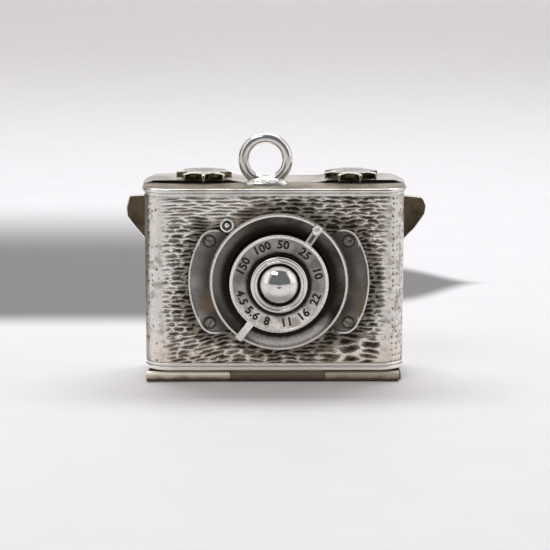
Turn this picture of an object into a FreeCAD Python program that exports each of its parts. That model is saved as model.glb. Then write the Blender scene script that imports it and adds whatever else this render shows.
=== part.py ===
"""Camera-shaped silver charm: a hinged picture locket with a lens dial, two winding knobs and a bail.

Millimetres, +Z up. The lens looks along -Y and +X is on the right of someone who looks at the lens.
The origin is on the underside of the base plate, in the seam between the front cover and the case.
"""

import FreeCAD
import Part

import math
import os

V = FreeCAD.Vector
X_AXIS = V(1, 0, 0)
FORWARD = V(0, -1, 0)
FAR = 40.0  # longer than the whole charm, for cutting tools

# ---- case and cover -----------------------------------------------------------------------------
WALL_HALF_W = 10.9  # half the width over the textured side walls
COVER_FACE_Y = -3.7  # textured front face
CASE_BACK_Y = 4.0  # textured back face
CORNER_R = 2.0  # upright corners, seen from above
SHEET = 0.4  # struck silver sheet
SEAM = 0.05  # half the gap between cover and case
BASE_T = 0.5
COVER_BOTTOM = 1.0
CASE_TOP = 16.6
TOP_LIP_PROUD = 0.28
TOP_LIP_H = 0.36
TOP_LIP_ROUND = 0.17
TOP_BAND_PROUD = 0.12  # a flatter band under the top lip
TOP_BAND_H = 0.29
TOP_BAND_ROUND = 0.08
LOW_LIP_PROUD = 0.14
LOW_LIP_H = 0.34
LOW_LIP_ROUND = 0.12
LOW_BEAD_PROUD = 0.12  # a thin bead above the low lip
LOW_BEAD_H = 0.26
LOW_BEAD_ROUND = 0.11
LIP_GROOVE = 0.05  # between the low lip and its bead
INSIDE_HALF_W = WALL_HALF_W - SHEET
FRONT_INSIDE_Y = COVER_FACE_Y + SHEET
BACK_INSIDE_Y = CASE_BACK_Y - SHEET

# ---- top plate, knobs and the cover's cut-backs that clear them ----------------------------------
TOP_PLATE_T = 0.22
TOP_PLATE_HALF_W = WALL_HALF_W + TOP_LIP_PROUD
TOP_PLATE_LIFT = 0.18  # the plate stands this much higher under the knobs than in its middle
TOP_PLATE_RAMP = 1.1
TOP_PLATE_END_RAMP = 0.9
TOP_PLATE_END_DROP = 0.1
TOP_PLATE_FLAT = (-2.7, 3.7)  # the stretch that lies level with the cover
ROOF_Z = CASE_TOP - TOP_PLATE_T
CUT_BACK_X = (-6.9, 7.4)
CUT_BACK_DEPTH = 0.95
CUT_BACK_R = 9.5
KNOB_X = (-6.0, 6.6)
KNOB_Y = 1.05
KNOB_R = 2.38
KNOB_BOTTOM = CASE_TOP + TOP_PLATE_LIFT + 0.02
KNOB_EDGE_H = 0.6
KNOB_H = 0.78
KNOB_BREAK = 0.06  # bevel along the crown's edge and the scoops
SCOOPS = 8
SCOOP_TOP_R = 0.7
SCOOP_BOTTOM_R = 0.9
SCOOP_PLACE_R = KNOB_R - 0.04
KNOB_TURN = (22.5, -5.0)  # a rib of the left knob and a scoop of the right one face the front
POST_R = 0.3
POST_CLEARANCE = 0.03
POST_HEAD_R = 0.6
POST_HEAD_T = 0.12
POST_TAIL_R = 0.5

# ---- frame plate with its two thumb ears --------------------------------------------------------
PLATE_FRONT = SEAM
PLATE_T = 0.3
PLATE_BACK = PLATE_FRONT + PLATE_T
EAR_ROOT_X = WALL_HALF_W - 0.8
EAR_TOP = 15.55
EAR_BOTTOM = 11.6
LEFT_EAR_TIP = [(-12.37, 15.46), (-12.66, 14.4), (-12.6, 13.65), (-12.05, 12.9), (-11.0, EAR_BOTTOM)]
RIGHT_EAR_TIP = [(12.72, 15.28), (13.04, 14.6), (12.92, 13.8), (12.05, 12.55), (11.1, EAR_BOTTOM)]
LEFT_EAR_ROUND = 0.15  # the left ear is the crisper of the two
RIGHT_EAR_ROUND = 0.42
EAR_BREAK = 0.07  # bevel along the front of each ear's outline

# ---- pictures -----------------------------------------------------------------------------------
PICTURE_HALF_W = 8.8
PICTURE_BOTTOM = 2.0
PICTURE_TOP = 15.2
SIGHT_BORDER = 1.2  # how much of a picture its frame covers
WINDOW_T = 0.2
PRINT_T = 0.2
TRAY_T = 0.2
RIM_SLACK = 0.05
RIM_T = 0.25
RIM_DEPTH = 0.8
RIM_BOTTOM = 7.0
COVER_FRAME_Y = -0.95  # back of the frame that is pressed into the cover

# ---- base hinge ---------------------------------------------------------------------------------
HINGE_Y = -3.4
HINGE_Z = 0.44
KNUCKLE_R = 0.42
PIN_R = 0.18
PIN_CLEARANCE = 0.02
HINGE_ENDS = (-10.9, 10.6)
COVER_KNUCKLE = (-3.75, 4.25)  # the stretch taken by the cover's knuckle
KNUCKLE_GAP = 0.06
BASE_FRONT_Y = HINGE_Y + KNUCKLE_R + 0.08
BASE_INSET = 0.1  # the base plate is this much smaller than the wall's outline

# ---- lens group: heights are measured from the textured face ------------------------------------
LENS_X = 0.37
LENS_Z = 8.7
BOARD_T = 0.3
WING_R = 7.63
WING_HALF_H = 4.47
WING_END_R = 1.35  # round ends of the wings, about the screws
BOARD_DISC_R = 5.86
BOARD_EDGE_W = 0.2
BOARD_DISH = 0.12
SCREW_X = 5.84
SCREW_Z = 3.5
SCREW_HEAD_R = 0.42
SCREW_HEAD_H = 0.18
SCREW_WELL_R = 0.56
SCREW_WELL_DEPTH = 0.16
SCREW_SHANK_R = 0.18
SCREW_SLOT_W = 0.12
SCREW_SLOT_DEPTH = 0.09
SCREW_ANGLES = (-32, 24, 58, -28)  # slots: upper left, upper right, lower left, lower right
RING_CREST_R = 5.76
RING_CREST_H = 0.62
RING_INNER_R = 4.36
DRUM_BASE_R = 4.32
DRUM_TOP_R = 4.06
DRUM_TOP_H = 0.98
NECK_R = 2.08
DIAL_R = 4.16
DIAL_BACK_H = 1.0
DIAL_FACE_H = 1.24
DIAL_RIM_H = 1.32
DIAL_RIM_W = 0.2
DIAL_STEP_R = 2.75  # inside this the face drops to a channel round the bezel
ARM_ANGLE = 54.5  # of the upper arm, from +X towards +Z
ARM_W = 0.62
ARM_TIP_R = 5.96
ARM_OVER_CREST = 0.06
BEZEL_R = 2.4
BEZEL_INNER_R = 1.84
BEZEL_BACK_H = 1.3
BEZEL_SIDE_H = 1.54
BEZEL_FRONT_H = 1.74
BEZEL_GROOVE_R = 2.06
BEZEL_GROOVE_H = 1.62
DOME_R = 1.74
DOME_SEAT_H = 1.4
DOME_RISE = 1.0
RIVET_R = 0.5
RIVET_TAIL_R = 0.9
RIVET_TAIL_T = 0.2
SOCKET_X = -4.35  # from the lens axis
SOCKET_Z = 4.84
SOCKET_R = 0.6
SOCKET_BORE_R = 0.42
SOCKET_H = 0.36
SOCKET_FLOOR_H = 0.1
SOCKET_PIN_R = 0.26
SOCKET_PIN_H = 0.24

# ---- bail ---------------------------------------------------------------------------------------
BAIL_X = -0.74
BAIL_Y = -1.1
BAIL_Z = 18.7
BAIL_WIRE_R = 0.45
BAIL_MID_R = 1.85
BAIL_HOLE_R = 1.43
FOOT_X = -0.66
FOOT_HALF_W = 2.0
FOOT_HALF_D = 1.0
FOOT_H = 0.74


def box(x0, x1, y0, y1, z0, z1):
    return Part.makeBox(x1 - x0, y1 - y0, z1 - z0, V(x0, y0, z0))


def upright_cylinder(radius, x, y, z0, z1):
    return Part.makeCylinder(radius, z1 - z0, V(x, y, z0))


def save(name, *solids):
    """Writes one node. Several solids make a group of identical pieces."""
    shape = solids[0] if len(solids) == 1 else Part.makeCompound(list(solids))
    for solid in shape.Solids:
        if not solid.isValid():
            raise ValueError(name + " holds a solid that is not valid")
    shape.exportStep("parts/" + name + ".step")


# ---- struck shells ------------------------------------------------------------------------------
def rounded_plan(half_w, y_round, y_flat, radius):
    """Outline seen from above: a rectangle whose two corners at y_round are round."""
    way = 1 if y_flat > y_round else -1
    y_arc = y_round + way * radius
    inner = half_w - radius
    diagonal = radius * math.sqrt(0.5)
    left_mid = V(-inner - diagonal, y_arc - way * diagonal, 0)
    right_mid = V(inner + diagonal, y_arc - way * diagonal, 0)
    edges = [
        Part.LineSegment(V(-half_w, y_flat, 0), V(-half_w, y_arc, 0)),
        Part.Arc(V(-half_w, y_arc, 0), left_mid, V(-inner, y_round, 0)),
        Part.LineSegment(V(-inner, y_round, 0), V(inner, y_round, 0)),
        Part.Arc(V(inner, y_round, 0), right_mid, V(half_w, y_arc, 0)),
        Part.LineSegment(V(half_w, y_arc, 0), V(half_w, y_flat, 0)),
        Part.LineSegment(V(half_w, y_flat, 0), V(-half_w, y_flat, 0)),
    ]
    return Part.Face(Part.Wire([edge.toShape() for edge in edges]))


def plan_prism(grow, y_round, y_flat, z0, z1):
    """A prism over the wall's outline, grown outwards by grow on its three outer sides."""
    way = 1 if y_flat > y_round else -1
    plan = rounded_plan(WALL_HALF_W + grow, y_round - way * grow, y_flat, CORNER_R + grow)
    prism = plan.extrude(V(0, 0, z1 - z0))
    prism.translate(V(0, 0, z0))
    return prism


def lip(grow, y_round, y_flat, z0, height, radius):
    """A smooth border that stands out from the wall, with its upper and lower edges softened."""
    prism = plan_prism(grow, y_round, y_flat, z0, z0 + height)
    level = [
        edge
        for edge in prism.Edges
        if edge.BoundBox.ZLength < 1e-6 and abs(edge.CenterOfMass.y - y_flat) > 1e-3
    ]
    return prism.makeFillet(radius, level)


def pan(y_round, y_flat, z0, z1):
    """A struck half of the box: a textured wall between double lips, hollow towards the seam."""
    way = 1 if y_flat > y_round else -1
    wall = plan_prism(0, y_round, y_flat, z0, z1)
    bead_z = z0 + LOW_LIP_H + LIP_GROOVE
    lip_z = z1 - TOP_LIP_H
    lips = [
        lip(LOW_LIP_PROUD, y_round, y_flat, z0, LOW_LIP_H, LOW_LIP_ROUND),
        lip(LOW_BEAD_PROUD, y_round, y_flat, bead_z, LOW_BEAD_H, LOW_BEAD_ROUND),
        lip(TOP_BAND_PROUD, y_round, y_flat, lip_z - TOP_BAND_H, TOP_BAND_H, TOP_BAND_ROUND),
        lip(TOP_LIP_PROUD, y_round, y_flat, lip_z, TOP_LIP_H, TOP_LIP_ROUND),
    ]
    hollow = plan_prism(-SHEET, y_round, y_flat + way, z0 + SHEET, z1 - SHEET)
    return wall.fuse(lips).cut(hollow).removeSplitter()


def make_cover_shell():
    """Front cover. Its top is cut back in two shallow curves so it clears the knobs as it opens."""
    shell = pan(COVER_FACE_Y, -SEAM, COVER_BOTTOM, CASE_TOP)
    holes = [lens_cylinder(RIVET_R + POST_CLEARANCE, -1.0, 1.0)]
    holes += [lens_cylinder(SCREW_SHANK_R, -1.0, 1.0, x, z) for x, z in screw_places()]
    curve_y = -SEAM - CUT_BACK_DEPTH + CUT_BACK_R
    cuts = [upright_cylinder(CUT_BACK_R, x, curve_y, CASE_TOP - 1, CASE_TOP + 1) for x in CUT_BACK_X]
    return shell.cut(holes + cuts)


def make_rear_shell():
    shell = pan(CASE_BACK_Y, PLATE_BACK, BASE_T, ROOF_Z)
    posts = [upright_cylinder(POST_R, x, KNOB_Y, CASE_TOP - 2, CASE_TOP + 2) for x in KNOB_X]
    return shell.cut(posts)


# ---- inside: frame plate with ears, closing rim, pictures ---------------------------------------
def upright_plate(points, y0, y1):
    """A flat plate whose outline is given as (x, z) points."""
    wire = Part.makePolygon([V(x, y0, z) for x, z in points + points[:1]])
    return Part.Face(wire).extrude(V(0, y1 - y0, 0))


def round_upright_edges(shape, radius, chosen):
    """Rounds the edges that run along Y and whose (x, z) place is chosen."""
    edges = [
        edge
        for edge in shape.Edges
        if edge.BoundBox.YLength > 1e-3
        and edge.BoundBox.XLength < 1e-6
        and edge.BoundBox.ZLength < 1e-6
        and chosen(edge.CenterOfMass.x, edge.CenterOfMass.z)
    ]
    return shape.makeFillet(radius, edges)


def sight_opening():
    half_w = PICTURE_HALF_W - SIGHT_BORDER
    hole = box(-half_w, half_w, -FAR, FAR, PICTURE_BOTTOM + SIGHT_BORDER, PICTURE_TOP - SIGHT_BORDER)
    return round_upright_edges(hole, 0.8, lambda x, z: True)


def ear(side, tip, radius):
    """A leaf-shaped fin with a level top, a blunt tip, a slanting lower edge and a bevelled front."""
    points = [(side * EAR_ROOT_X, EAR_TOP)] + tip + [(side * EAR_ROOT_X, EAR_BOTTOM)]
    fin = upright_plate(points, PLATE_FRONT, PLATE_BACK)
    fin = round_upright_edges(fin, radius, lambda x, z: abs(x) > WALL_HALF_W + 1)
    front = [
        edge
        for edge in fin.Edges
        if edge.BoundBox.YMax < PLATE_FRONT + 1e-3 and abs(edge.CenterOfMass.x) > WALL_HALF_W
    ]
    return fin.makeChamfer(EAR_BREAK, front)


def make_ear_frame_plate():
    half_w = WALL_HALF_W - 0.1
    plate = box(-half_w, half_w, PLATE_FRONT, PLATE_BACK, BASE_T, ROOF_Z - 0.04)
    plate = round_upright_edges(plate, 0.3, lambda x, z: z > BASE_T + 1)
    ears = [ear(-1, LEFT_EAR_TIP, LEFT_EAR_ROUND), ear(1, RIGHT_EAR_TIP, RIGHT_EAR_ROUND)]
    plate = plate.fuse(ears).removeSplitter()
    return plate.cut(sight_opening())


def make_closing_rim():
    """U-shaped strip on the frame plate that slips inside the cover's top and side walls."""
    y0, y1 = PLATE_FRONT - RIM_DEPTH, PLATE_FRONT
    half_w = INSIDE_HALF_W - RIM_SLACK
    top = CASE_TOP - SHEET - RIM_SLACK
    outer = box(-half_w, half_w, y0, y1, RIM_BOTTOM, top)
    outer = round_upright_edges(outer, 0.6, lambda x, z: z > RIM_BOTTOM + 1)
    inner = box(-half_w + RIM_T, half_w - RIM_T, y0, y1, RIM_BOTTOM - 1, top - RIM_T)
    inner = round_upright_edges(inner, 0.35, lambda x, z: z > RIM_BOTTOM)
    return outer.cut(inner)


def picture_sheet(y0, thickness):
    return box(-PICTURE_HALF_W, PICTURE_HALF_W, y0, y0 + thickness, PICTURE_BOTTOM, PICTURE_TOP)


def make_tray(y_print, y_wall):
    """Shallow pan that holds a print against its window and bears on the wall behind with its rim."""
    way = 1 if y_wall > y_print else -1
    tray = box(
        -PICTURE_HALF_W,
        PICTURE_HALF_W,
        min(y_print, y_wall),
        max(y_print, y_wall),
        PICTURE_BOTTOM,
        PICTURE_TOP,
    )
    floor = y_print + way * TRAY_T
    beyond = y_wall + way
    hollow = box(
        -PICTURE_HALF_W + TRAY_T,
        PICTURE_HALF_W - TRAY_T,
        min(floor, beyond),
        max(floor, beyond),
        PICTURE_BOTTOM + TRAY_T,
        PICTURE_TOP - TRAY_T,
    )
    return tray.cut(hollow)


def make_cover_frame():
    """Frame plate pressed into the cover over its own picture and window."""
    half_w = INSIDE_HALF_W - 0.02
    bottom = COVER_BOTTOM + SHEET + 0.02
    top = CASE_TOP - SHEET - 0.02
    plate = box(-half_w, half_w, COVER_FRAME_Y - PLATE_T, COVER_FRAME_Y, bottom, top)
    return plate.cut(sight_opening())


# ---- base plate and hinge -----------------------------------------------------------------------
def make_base_plate():
    """Closes the case below and reaches forward to the hinge."""
    return plan_prism(-BASE_INSET, CASE_BACK_Y, BASE_FRONT_Y, 0, BASE_T)


def hinge_cylinder(radius, x0, x1):
    return Part.makeCylinder(radius, x1 - x0, V(x0, HINGE_Y, HINGE_Z), X_AXIS)


def make_case_knuckle(x0, x1):
    """An outer knuckle with a tongue back to the base plate."""
    tube = hinge_cylinder(KNUCKLE_R, x0, x1)
    tongue = box(x0, x1, HINGE_Y, BASE_FRONT_Y, HINGE_Z - KNUCKLE_R, HINGE_Z)
    bore = hinge_cylinder(PIN_R + PIN_CLEARANCE, -FAR, FAR)
    return tube.fuse(tongue).cut(bore).removeSplitter()


def make_cover_knuckle():
    """The middle knuckle with a saddle up to the cover's lower lip."""
    x0, x1 = COVER_KNUCKLE
    tube = hinge_cylinder(KNUCKLE_R, x0, x1)
    saddle = box(x0, x1, HINGE_Y - 0.3, HINGE_Y + 0.3, HINGE_Z + 0.2, COVER_BOTTOM)
    bore = hinge_cylinder(PIN_R + PIN_CLEARANCE, -FAR, FAR)
    return tube.fuse(saddle).cut(bore).removeSplitter()


def make_hinge_pin():
    return hinge_cylinder(PIN_R, HINGE_ENDS[0] - 0.05, HINGE_ENDS[1] + 0.05)


# ---- lens group ---------------------------------------------------------------------------------
def lens_cylinder(radius, h0, h1, x=0.0, z=0.0):
    """A cylinder along the lens axis, from height h0 to h1 over the textured face."""
    start = V(LENS_X + x, COVER_FACE_Y - h0, LENS_Z + z)
    return Part.makeCylinder(radius, h1 - h0, start, FORWARD)


def lathe(profile):
    """Turns (radius, height) points round the lens axis. A third value is the middle of an arc."""
    edges = []
    for start, end in zip(profile, profile[1:] + profile[:1]):
        a = V(LENS_X + start[0], COVER_FACE_Y - start[1], LENS_Z)
        b = V(LENS_X + end[0], COVER_FACE_Y - end[1], LENS_Z)
        if len(end) == 3:
            mid = V(LENS_X + end[2][0], COVER_FACE_Y - end[2][1], LENS_Z)
            edges.append(Part.Arc(a, mid, b).toShape())
        else:
            edges.append(Part.LineSegment(a, b).toShape())
    return Part.Face(Part.Wire(edges)).revolve(V(LENS_X, 0, LENS_Z), FORWARD, 360)


def screw_places():
    """(x, z) of the four screws from the lens axis."""
    return [(-SCREW_X, SCREW_Z), (SCREW_X, SCREW_Z), (-SCREW_X, -SCREW_Z), (SCREW_X, -SCREW_Z)]


def wings(inset, h0, h1):
    """The board's two wings: a level band of a disc whose four ends are round and touch its edge."""
    radius = WING_R - inset
    end_z = WING_HALF_H - WING_END_R
    end_x = math.sqrt((WING_R - WING_END_R) ** 2 - end_z**2)
    half_h = radius * end_z / (WING_R - WING_END_R)
    band = box(-FAR, FAR, COVER_FACE_Y - h1, COVER_FACE_Y - h0, LENS_Z - half_h, LENS_Z + half_h)
    places = [(x, z) for x in (-end_x, end_x) for z in (-end_z, end_z)]
    ends = [lens_cylinder(WING_END_R - inset, h0, h1, x, z) for x, z in places]
    return lens_cylinder(radius, h0, h1).common(band).fuse(ends).removeSplitter()


def make_lens_board():
    """Plate under the lens: a disc with two dished wings, four screw wells and a notch."""
    board = wings(0.0, 0.0, BOARD_T).fuse(lens_cylinder(BOARD_DISC_R, 0.0, BOARD_T))
    dish = wings(BOARD_EDGE_W, BOARD_T - BOARD_DISH, BOARD_T + 1)
    cuts = [dish.cut(lens_cylinder(BOARD_DISC_R, 0, 2))]
    for x, z in screw_places():
        cuts.append(lens_cylinder(SCREW_WELL_R, BOARD_T - SCREW_WELL_DEPTH, 1, x, z))
        cuts.append(lens_cylinder(SCREW_SHANK_R, -1, 1, x, z))
    cuts.append(lens_cylinder(RIVET_R + POST_CLEARANCE, -1, 1))
    cuts.append(lens_cylinder(SOCKET_R + 0.02, -1, 1, SOCKET_X, SOCKET_Z))
    return board.removeSplitter().cut(cuts)


def make_board_screws():
    made = []
    seat = BOARD_T - SCREW_WELL_DEPTH
    top = seat + SCREW_HEAD_H
    for (x, z), angle in zip(screw_places(), SCREW_ANGLES):
        head = lens_cylinder(SCREW_HEAD_R, seat, top, x, z)
        rim = [edge for edge in head.Edges if abs(edge.CenterOfMass.y - (COVER_FACE_Y - top)) < 1e-6]
        head = head.makeFillet(0.05, rim)
        shank = lens_cylinder(SCREW_SHANK_R, -SHEET, seat, x, z)
        slot_y = COVER_FACE_Y - top + SCREW_SLOT_DEPTH
        slot = box(-1, 1, slot_y - 1, slot_y, -SCREW_SLOT_W / 2, SCREW_SLOT_W / 2)
        slot.rotate(V(0, 0, 0), FORWARD, angle)
        slot.translate(V(LENS_X + x, 0, LENS_Z + z))
        made.append(head.fuse(shank).removeSplitter().cut(slot))
    return made


def make_shutter_ring():
    """Dished ring: a narrow crest outside and a hollow that falls towards the drum."""
    floor = BOARD_T + 0.1
    return lathe(
        [
            (BOARD_DISC_R, BOARD_T),
            (BOARD_DISC_R, BOARD_T + 0.08),
            (RING_CREST_R, RING_CREST_H),
            (RING_CREST_R - 0.14, RING_CREST_H - 0.02),
            (RING_INNER_R, floor, ((RING_CREST_R + RING_INNER_R) / 2, floor + 0.02)),
            (RING_INNER_R, BOARD_T),
        ]
    )


def make_lens_drum():
    """Carries the dial on its neck and the bezel on its front."""
    bore = RIVET_R + POST_CLEARANCE
    spigot = BEZEL_INNER_R - 0.02
    return lathe(
        [
            (bore, BOARD_T),
            (DRUM_BASE_R, BOARD_T),
            (DRUM_TOP_R, DRUM_TOP_H),
            (NECK_R, DRUM_TOP_H),
            (NECK_R, BEZEL_BACK_H),
            (spigot, BEZEL_BACK_H),
            (spigot, DOME_SEAT_H),
            (bore, DOME_SEAT_H),
        ]
    )


def dial_arm(angle):
    """An index arm that slopes from the dial's edge down to just over the ring's crest."""
    root_r = DIAL_R - 0.5
    under = RING_CREST_H + ARM_OVER_CREST
    outline = [
        (root_r, DIAL_BACK_H),
        (DIAL_R, DIAL_BACK_H),
        (RING_CREST_R - 0.1, under),
        (ARM_TIP_R, under),
        (ARM_TIP_R, under + 0.14),
        (RING_CREST_R - 0.3, under + 0.28),
        (DIAL_R, DIAL_RIM_H - 0.02),
        (root_r, DIAL_FACE_H),
    ]
    points = [V(r, COVER_FACE_Y - h, -ARM_W / 2) for r, h in outline]
    arm = Part.Face(Part.makePolygon(points + points[:1])).extrude(V(0, 0, ARM_W))
    arm.rotate(V(0, 0, 0), FORWARD, angle)
    arm.translate(V(LENS_X, 0, LENS_Z))
    return arm


def make_number_dial():
    """Turning dial: a flat number band inside a raised edge, with two opposite index arms."""
    bore = NECK_R + POST_CLEARANCE
    channel_h = DIAL_FACE_H - 0.08
    ring = lathe(
        [
            (bore, DIAL_BACK_H),
            (DIAL_R, DIAL_BACK_H),
            (DIAL_R, DIAL_RIM_H - 0.04),
            (DIAL_R - DIAL_RIM_W / 2, DIAL_RIM_H),
            (DIAL_R - DIAL_RIM_W, DIAL_FACE_H),
            (DIAL_STEP_R, DIAL_FACE_H),
            (DIAL_STEP_R - 0.15, channel_h),
            (bore, channel_h),
        ]
    )
    return ring.fuse([dial_arm(ARM_ANGLE), dial_arm(ARM_ANGLE + 180)]).removeSplitter()


def make_lens_bezel():
    """Two rounded beads with a fine groove between them."""
    outer_middle = (BEZEL_R + BEZEL_GROOVE_R) / 2
    inner_middle = (BEZEL_INNER_R + BEZEL_GROOVE_R) / 2
    return lathe(
        [
            (BEZEL_INNER_R, BEZEL_BACK_H),
            (BEZEL_R, BEZEL_BACK_H),
            (BEZEL_R, BEZEL_SIDE_H),
            (BEZEL_GROOVE_R, BEZEL_GROOVE_H, (outer_middle, BEZEL_FRONT_H)),
            (BEZEL_INNER_R, BEZEL_SIDE_H, (inner_middle, BEZEL_FRONT_H - 0.03)),
        ]
    )


def make_lens_dome():
    """Polished cabochon on a shank that passes through the cover and is riveted over inside."""
    ball_r = (DOME_R**2 + DOME_RISE**2) / (2 * DOME_RISE)
    half_angle = math.asin(DOME_R / ball_r) / 2
    ball_h = DOME_SEAT_H + DOME_RISE - ball_r
    cap_middle = (ball_r * math.sin(half_angle), ball_h + ball_r * math.cos(half_angle))
    return lathe(
        [
            (0, -SHEET - RIVET_TAIL_T),
            (RIVET_TAIL_R, -SHEET - RIVET_TAIL_T),
            (RIVET_TAIL_R, -SHEET),
            (RIVET_R, -SHEET),
            (RIVET_R, DOME_SEAT_H),
            (DOME_R, DOME_SEAT_H),
            (0, DOME_SEAT_H + DOME_RISE, cap_middle),
        ]
    )


def make_flash_socket():
    """Small socket ring beside the lens."""
    ring = lens_cylinder(SOCKET_R, 0, SOCKET_H, SOCKET_X, SOCKET_Z)
    front_y = COVER_FACE_Y - SOCKET_H
    front = [edge for edge in ring.Edges if abs(edge.CenterOfMass.y - front_y) < 1e-6]
    ring = ring.makeFillet(0.1, front)
    return ring.cut(lens_cylinder(SOCKET_BORE_R, SOCKET_FLOOR_H, 1, SOCKET_X, SOCKET_Z))


def make_flash_socket_pin():
    stem = lens_cylinder(SOCKET_PIN_R, SOCKET_FLOOR_H, SOCKET_PIN_H, SOCKET_X, SOCKET_Z)
    stem_y = COVER_FACE_Y - SOCKET_PIN_H
    cap = Part.makeSphere(SOCKET_PIN_R, V(LENS_X + SOCKET_X, stem_y, LENS_Z + SOCKET_Z))
    return stem.fuse(cap.common(box(-FAR, FAR, -FAR, stem_y, 0, FAR))).removeSplitter()


# ---- top plate, knobs and bail ------------------------------------------------------------------
def make_top_plate():
    """Roof sheet: level with the cover in its middle, lifted under the knobs, bent down at its ends."""
    left, right = TOP_PLATE_FLAT
    end = TOP_PLATE_HALF_W
    high = CASE_TOP + TOP_PLATE_LIFT
    top_line = [
        (-end, CASE_TOP - TOP_PLATE_END_DROP),
        (-end + TOP_PLATE_END_RAMP, high),
        (left - TOP_PLATE_RAMP, high),
        (left, CASE_TOP),
        (right, CASE_TOP),
        (right + TOP_PLATE_RAMP, high),
        (end - TOP_PLATE_END_RAMP, high),
        (end, CASE_TOP - TOP_PLATE_END_DROP),
    ]
    under_line = [(x, max(z - TOP_PLATE_T, ROOF_Z)) for x, z in reversed(top_line)]
    sheet = upright_plate(top_line + under_line, SEAM, FAR)
    outline = plan_prism(TOP_LIP_PROUD, CASE_BACK_Y, SEAM, CASE_TOP - 2, CASE_TOP + 2)
    posts = [upright_cylinder(POST_R, x, KNOB_Y, CASE_TOP - 2, CASE_TOP + 2) for x in KNOB_X]
    return sheet.common(outline).cut(posts)


def make_knob(x, turn):
    """Winding knob: a low crowned disc with scoops round its edge."""
    top = KNOB_BOTTOM + KNOB_H
    profile = [
        V(x, KNOB_Y, KNOB_BOTTOM),
        V(x + KNOB_R, KNOB_Y, KNOB_BOTTOM),
        V(x + KNOB_R, KNOB_Y, KNOB_BOTTOM + KNOB_EDGE_H),
        V(x + KNOB_R / 2, KNOB_Y, top - 0.04),
        V(x, KNOB_Y, top),
    ]
    disc = Part.Face(Part.makePolygon(profile + profile[:1])).revolve(profile[0], V(0, 0, 1), 360)
    cuts = []
    for i in range(SCOOPS):
        a = math.radians(-90 + turn + i * 360 / SCOOPS)
        place = V(x + SCOOP_PLACE_R * math.cos(a), KNOB_Y + SCOOP_PLACE_R * math.sin(a), KNOB_BOTTOM)
        cuts.append(Part.makeCone(SCOOP_BOTTOM_R, SCOOP_TOP_R, KNOB_H + 0.05, place))
    cuts.append(upright_cylinder(POST_R + POST_CLEARANCE, x, KNOB_Y, KNOB_BOTTOM - 1, top + 1))
    recess = upright_cylinder(POST_HEAD_R + 0.05, x, KNOB_Y, top - POST_HEAD_T - 0.02, top + 1)
    knob = disc.cut(cuts)
    crown = [edge for edge in knob.Edges if edge.BoundBox.ZMin > KNOB_BOTTOM + KNOB_EDGE_H - 0.01]
    outline = [edge for edge in crown if (edge.CenterOfMass - V(x, KNOB_Y, top)).Length > KNOB_R / 2 + 0.2]
    return knob.makeChamfer(KNOB_BREAK, outline).cut(recess)


def make_knob_rivet(x):
    """Rivet that holds a knob: a head in the knob's top and a tail under the case's roof."""
    knob_top = KNOB_BOTTOM + KNOB_H
    roof_inside = ROOF_Z - SHEET
    tail = upright_cylinder(POST_TAIL_R, x, KNOB_Y, roof_inside - 0.25, roof_inside)
    shank = upright_cylinder(POST_R, x, KNOB_Y, roof_inside, knob_top)
    head = upright_cylinder(POST_HEAD_R, x, KNOB_Y, knob_top - POST_HEAD_T, knob_top)
    return tail.fuse([shank, head]).removeSplitter()


def make_bail_ring():
    """Wire loop with its plane parallel to the face. Wear has flattened the inside of the wire."""
    centre = V(BAIL_X, BAIL_Y, BAIL_Z)
    ring = Part.makeTorus(BAIL_MID_R, BAIL_WIRE_R, centre, FORWARD)
    hole = Part.makeCylinder(BAIL_HOLE_R, 4, centre - FORWARD * 2, FORWARD)
    return ring.cut([hole, box(-FAR, FAR, -FAR, FAR, 0, CASE_TOP)])


def make_bail_solder_foot(ring):
    """Mound of solder that joins the loop to the cover."""
    stretch = FreeCAD.Matrix()
    stretch.scale(FOOT_HALF_W, FOOT_HALF_D, FOOT_H)
    mound = Part.makeSphere(1.0).transformGeometry(stretch)
    mound.translate(V(FOOT_X, BAIL_Y, CASE_TOP))
    return mound.cut([ring, box(-FAR, FAR, -FAR, FAR, 0, CASE_TOP)])


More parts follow.
